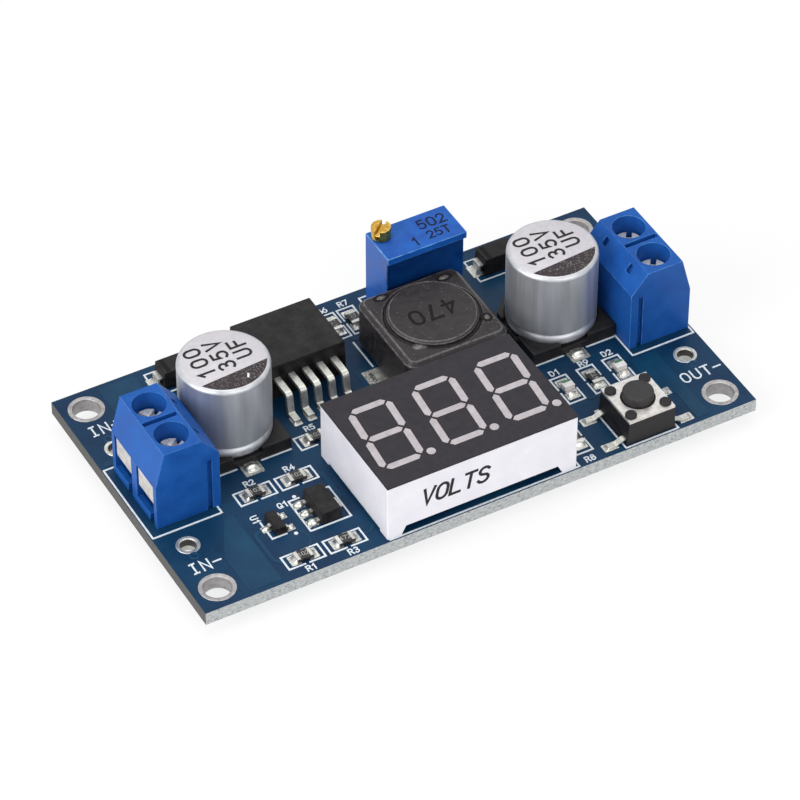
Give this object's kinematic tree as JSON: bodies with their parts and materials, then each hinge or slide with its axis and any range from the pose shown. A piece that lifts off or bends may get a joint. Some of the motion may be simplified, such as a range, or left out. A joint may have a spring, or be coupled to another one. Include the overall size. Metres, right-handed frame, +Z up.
{
  "type": "boost converter module",
  "caption": "Step-up DC voltage converter board with screw terminals, capacitors, shielded inductor, multi-turn trimmer, digit display and push button.",
  "frame": {"origin": "middle of the four mounting holes, on the underside of the circuit board", "axes": "+X along the board from input to output, +Y from the display to the back edge, +Z up"},
  "size_m": [0.066, 0.036, 0.0146],
  "materials": {
    "laminate": "blue solder mask, satin",
    "tin_plate": "tinned, satin",
    "solder": "solder, bright",
    "blue_plastic": "moulded, satin",
    "nickel_plate": "nickel plated, bright",
    "can_aluminium": "drawn, satin",
    "black_plastic": "moulded, matt",
    "ferrite": "fired, matt",
    "copper_wire": "enamelled copper",
    "screw_brass": "turned",
    "white_plastic": "moulded, satin",
    "alumina": "fired, matt",
    "resistor_glaze": "black glaze over alumina",
    "dark_film": "dark grey film, satin",
    "light_bar_epoxy": "cloudy epoxy, unlit",
    "carrier_laminate": "bare laminate",
    "lens_epoxy": "cloudy epoxy"
  },
  "bodies": {
    "board": {"circuit_board": "laminate", "hole_plating": "tin_plate", "input_capacitor_tabs": "tin_plate", "output_capacitor_tabs": "tin_plate", "regulator_heat_spreader": "tin_plate", "regulator_leads": "tin_plate", "inductor_clips": "tin_plate", "trimmer_pins": "tin_plate", "display_pins": "tin_plate", "switch_leads": "tin_plate", "input_diode_leads": "tin_plate", "output_diode_leads": "tin_plate", "transistor_leads": "tin_plate", "reference_leads": "tin_plate", "meter_leads": "tin_plate", "resistor_end_caps": "tin_plate", "indicator_bases": "tin_plate", "solder_joints": "solder", "input_terminal_housing": "blue_plastic", "output_terminal_housing": "blue_plastic", "trimmer_housing": "blue_plastic", "input_terminal_contacts": "nickel_plate", "output_terminal_contacts": "nickel_plate", "switch_cover": "nickel_plate", "switch_dome": "nickel_plate", "input_capacitor_can": "can_aluminium", "output_capacitor_can": "can_aluminium", "input_capacitor_base": "black_plastic", "output_capacitor_base": "black_plastic", "regulator_body": "black_plastic", "inductor_base": "black_plastic", "trimmer_base": "black_plastic", "switch_base": "black_plastic", "input_diode_body": "black_plastic", "output_diode_body": "black_plastic", "transistor_body": "black_plastic", "reference_body": "black_plastic", "meter_body": "black_plastic", "inductor_shield": "ferrite", "inductor_drum": "ferrite", "inductor_winding": "copper_wire", "display_case": "white_plastic", "trimmer_element": "alumina", "resistor_chips": "resistor_glaze", "display_face": "dark_film", "display_bars": "light_bar_epoxy", "display_carrier": "carrier_laminate", "indicator_lenses": "lens_epoxy"},
    "input_screw_plus": {"input_screw_plus": "nickel_plate"},
    "input_clamp_plus": {"input_clamp_plus": "nickel_plate"},
    "input_screw_minus": {"input_screw_minus": "nickel_plate"},
    "input_clamp_minus": {"input_clamp_minus": "nickel_plate"},
    "output_screw_plus": {"output_screw_plus": "nickel_plate"},
    "output_clamp_plus": {"output_clamp_plus": "nickel_plate"},
    "output_screw_minus": {"output_screw_minus": "nickel_plate"},
    "output_clamp_minus": {"output_clamp_minus": "nickel_plate"},
    "trimmer_screw": {"trimmer_screw": "screw_brass"},
    "trimmer_wheel": {"trimmer_wheel": "white_plastic", "trimmer_wiper": "nickel_plate"},
    "button": {"switch_button": "black_plastic"}
  },
  "joints": [
    {"name": "input_screw_plus_turn", "type": "hinge", "parent": "board", "child": "input_screw_plus", "pos_m": [-0.02848, 0.00294, 0.0096], "axis": [0, 0, 1], "range_deg": [0, 1080.1]},
    {"name": "input_clamp_plus_slide", "type": "slide", "parent": "board", "child": "input_clamp_plus", "axis": [0, 0, 1], "range_m": [-0.0015, 0]},
    {"name": "input_screw_minus_turn", "type": "hinge", "parent": "board", "child": "input_screw_minus", "pos_m": [-0.02848, -0.00214, 0.0096], "axis": [0, 0, 1], "range_deg": [0, 1080.1]},
    {"name": "input_clamp_minus_slide", "type": "slide", "parent": "board", "child": "input_clamp_minus", "axis": [0, 0, 1], "range_m": [-0.0015, 0]},
    {"name": "output_screw_plus_turn", "type": "hinge", "parent": "board", "child": "output_screw_plus", "pos_m": [0.02937, 0.00294, 0.0096], "axis": [0, 0, 1], "range_deg": [0, 1080.1]},
    {"name": "output_clamp_plus_slide", "type": "slide", "parent": "board", "child": "output_clamp_plus", "axis": [0, 0, 1], "range_m": [-0.0015, 0]},
    {"name": "output_screw_minus_turn", "type": "hinge", "parent": "board", "child": "output_screw_minus", "pos_m": [0.02937, -0.00214, 0.0096], "axis": [0, 0, 1], "range_deg": [0, 1080.1]},
    {"name": "output_clamp_minus_slide", "type": "slide", "parent": "board", "child": "output_clamp_minus", "axis": [0, 0, 1], "range_m": [-0.0015, 0]},
    {"name": "trimmer_screw_turn", "type": "hinge", "parent": "board", "child": "trimmer_screw", "pos_m": [0.00523, 0.01453, 0], "axis": [0, 0, 1], "range_deg": [-4500, 4500]},
    {"name": "trimmer_wheel_turn", "type": "hinge", "parent": "board", "child": "trimmer_wheel", "pos_m": [0.00843, 0.01453, 0.00685], "axis": [0, 1, 0], "range_deg": [-150.1, 150.1]},
    {"name": "button_press", "type": "slide", "parent": "board", "child": "button", "axis": [0, 0, -1], "range_m": [0, 0.00025], "stiffness_N_per_m": 4000, "springref_m": -0.0001, "deforming": ["switch_dome"]}
  ],
  "couplings": [
    {"joint": "input_screw_plus_turn", "follows": "input_clamp_plus_slide", "rad_per_m": -12566},
    {"joint": "input_screw_minus_turn", "follows": "input_clamp_minus_slide", "rad_per_m": -12566},
    {"joint": "output_screw_plus_turn", "follows": "output_clamp_plus_slide", "rad_per_m": -12566},
    {"joint": "output_screw_minus_turn", "follows": "output_clamp_minus_slide", "rad_per_m": -12566},
    {"joint": "trimmer_wheel_turn", "follows": "trimmer_screw_turn", "ratio": -0.033333}
  ]
}
